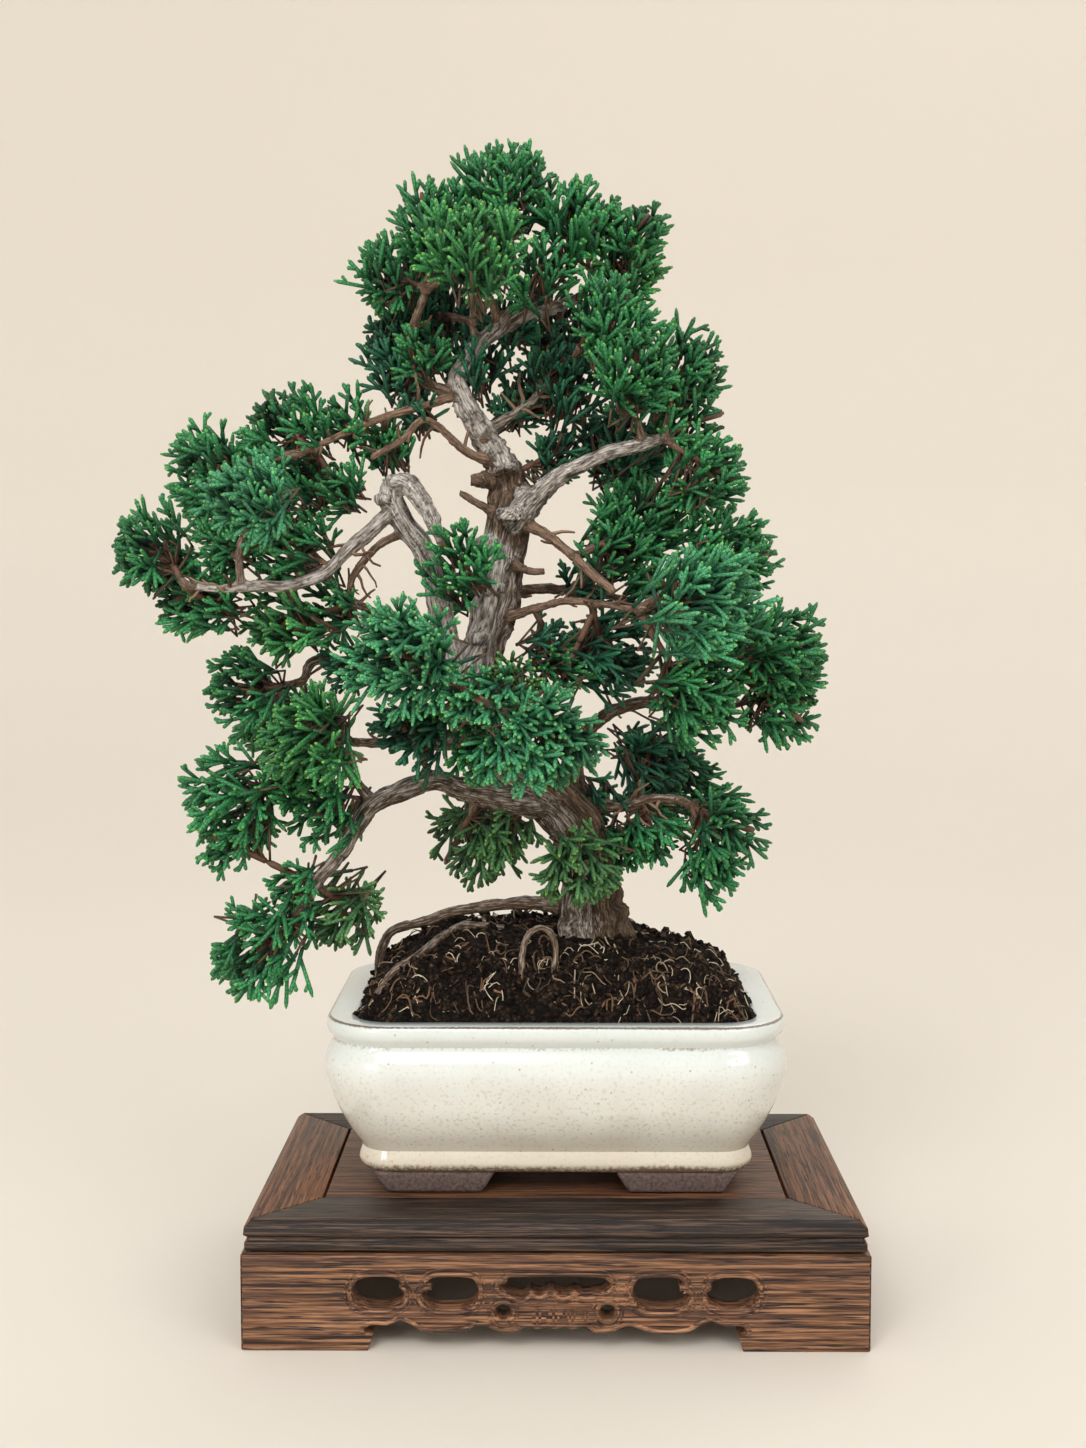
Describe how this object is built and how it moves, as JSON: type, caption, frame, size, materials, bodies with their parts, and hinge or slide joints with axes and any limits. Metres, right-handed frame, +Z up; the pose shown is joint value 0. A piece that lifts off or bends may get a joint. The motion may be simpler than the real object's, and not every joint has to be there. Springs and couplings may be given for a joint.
{
  "type": "kishu juniper bonsai",
  "caption": "Kishu juniper bonsai: winding ridged trunk, rounded pads of scale-leaf sprays, soil mound, footed cream-glazed pot and a carved, pierced wooden stand.",
  "frame": {"origin": "middle of the outer box's underside, on the surface that the stand's feet rest on", "axes": "+Z up, +X along the pot to the viewer's right, -Y towards the front"},
  "size_m": [0.2444, 0.1212, 0.3835],
  "materials": {
    "stand_top_wood": "dark brown hardwood, open grain, oiled",
    "stand_carved_wood": "reddish brown hardwood, carved, low sheen",
    "cream_glaze": null,
    "plastic_net": "black net",
    "soil": null,
    "bark": "rough grey-brown juniper bark",
    "foliage_green": "waxy scale leaves, mid green",
    "foliage_blue": "waxy scale leaves, blue-green",
    "foliage_dark": "shaded inner scale leaves",
    "foliage_bright": "fresh yellow-green scale leaves",
    "foliage_olive": "sparse olive inner sprays"
  },
  "bodies": {
    "root": {"stand_rail_front": "stand_top_wood", "stand_rail_back": "stand_top_wood", "stand_rail_right": "stand_top_wood", "stand_rail_left": "stand_top_wood", "stand_panel": "stand_top_wood", "stand_apron_front": "stand_carved_wood", "stand_apron_back": "stand_carved_wood", "stand_apron_right": "stand_carved_wood", "stand_apron_left": "stand_carved_wood", "pot": "cream_glaze", "drain_screen_left": "plastic_net", "drain_screen_right": "plastic_net", "soil": "soil", "trunk": "bark", "foliage_apex": "foliage_green", "foliage_crown_left_top": "foliage_green", "foliage_crown_left": "foliage_green", "foliage_crown_left_low": "foliage_dark", "foliage_crown_front": "foliage_bright", "foliage_crown_back": "foliage_green", "foliage_crown_back_left": "foliage_dark", "foliage_crown_right_top": "foliage_green", "foliage_crown_right": "foliage_bright", "foliage_crown_right_low": "foliage_green", "foliage_crown_low_back": "foliage_dark", "foliage_right_top": "foliage_green", "foliage_right_inner": "foliage_green", "foliage_right_tip": "foliage_green", "foliage_right_tip_low": "foliage_green", "foliage_right_back": "foliage_dark", "foliage_mid_front": "foliage_blue", "foliage_mid_top": "foliage_green", "foliage_mid_right_up": "foliage_green", "foliage_mid_right": "foliage_green", "foliage_mid_right_low": "foliage_green", "foliage_mid_low": "foliage_green", "foliage_mid_inner": "foliage_dark", "foliage_mid_back": "foliage_green", "foliage_low_right": "foliage_green", "foliage_low_right_in": "foliage_dark", "foliage_low_right_back": "foliage_green", "foliage_front_left": "foliage_blue", "foliage_front_right": "foliage_blue", "foliage_hanging": "foliage_olive", "foliage_by_trunk": "foliage_olive", "foliage_inner_low": "foliage_dark", "foliage_left_top": "foliage_green", "foliage_left_upper": "foliage_green", "foliage_left_tip": "foliage_green", "foliage_left_front": "foliage_blue", "foliage_left_inner": "foliage_green", "foliage_left_under": "foliage_green", "foliage_left_back": "foliage_green", "foliage_left_bright": "foliage_bright", "foliage_lower_left_top": "foliage_green", "foliage_lower_left": "foliage_green", "foliage_lower_left_front": "foliage_bright", "foliage_lower_left_back": "foliage_green", "foliage_drooping": "foliage_green", "foliage_drooping_right": "foliage_olive"}
  },
  "joints": []
}
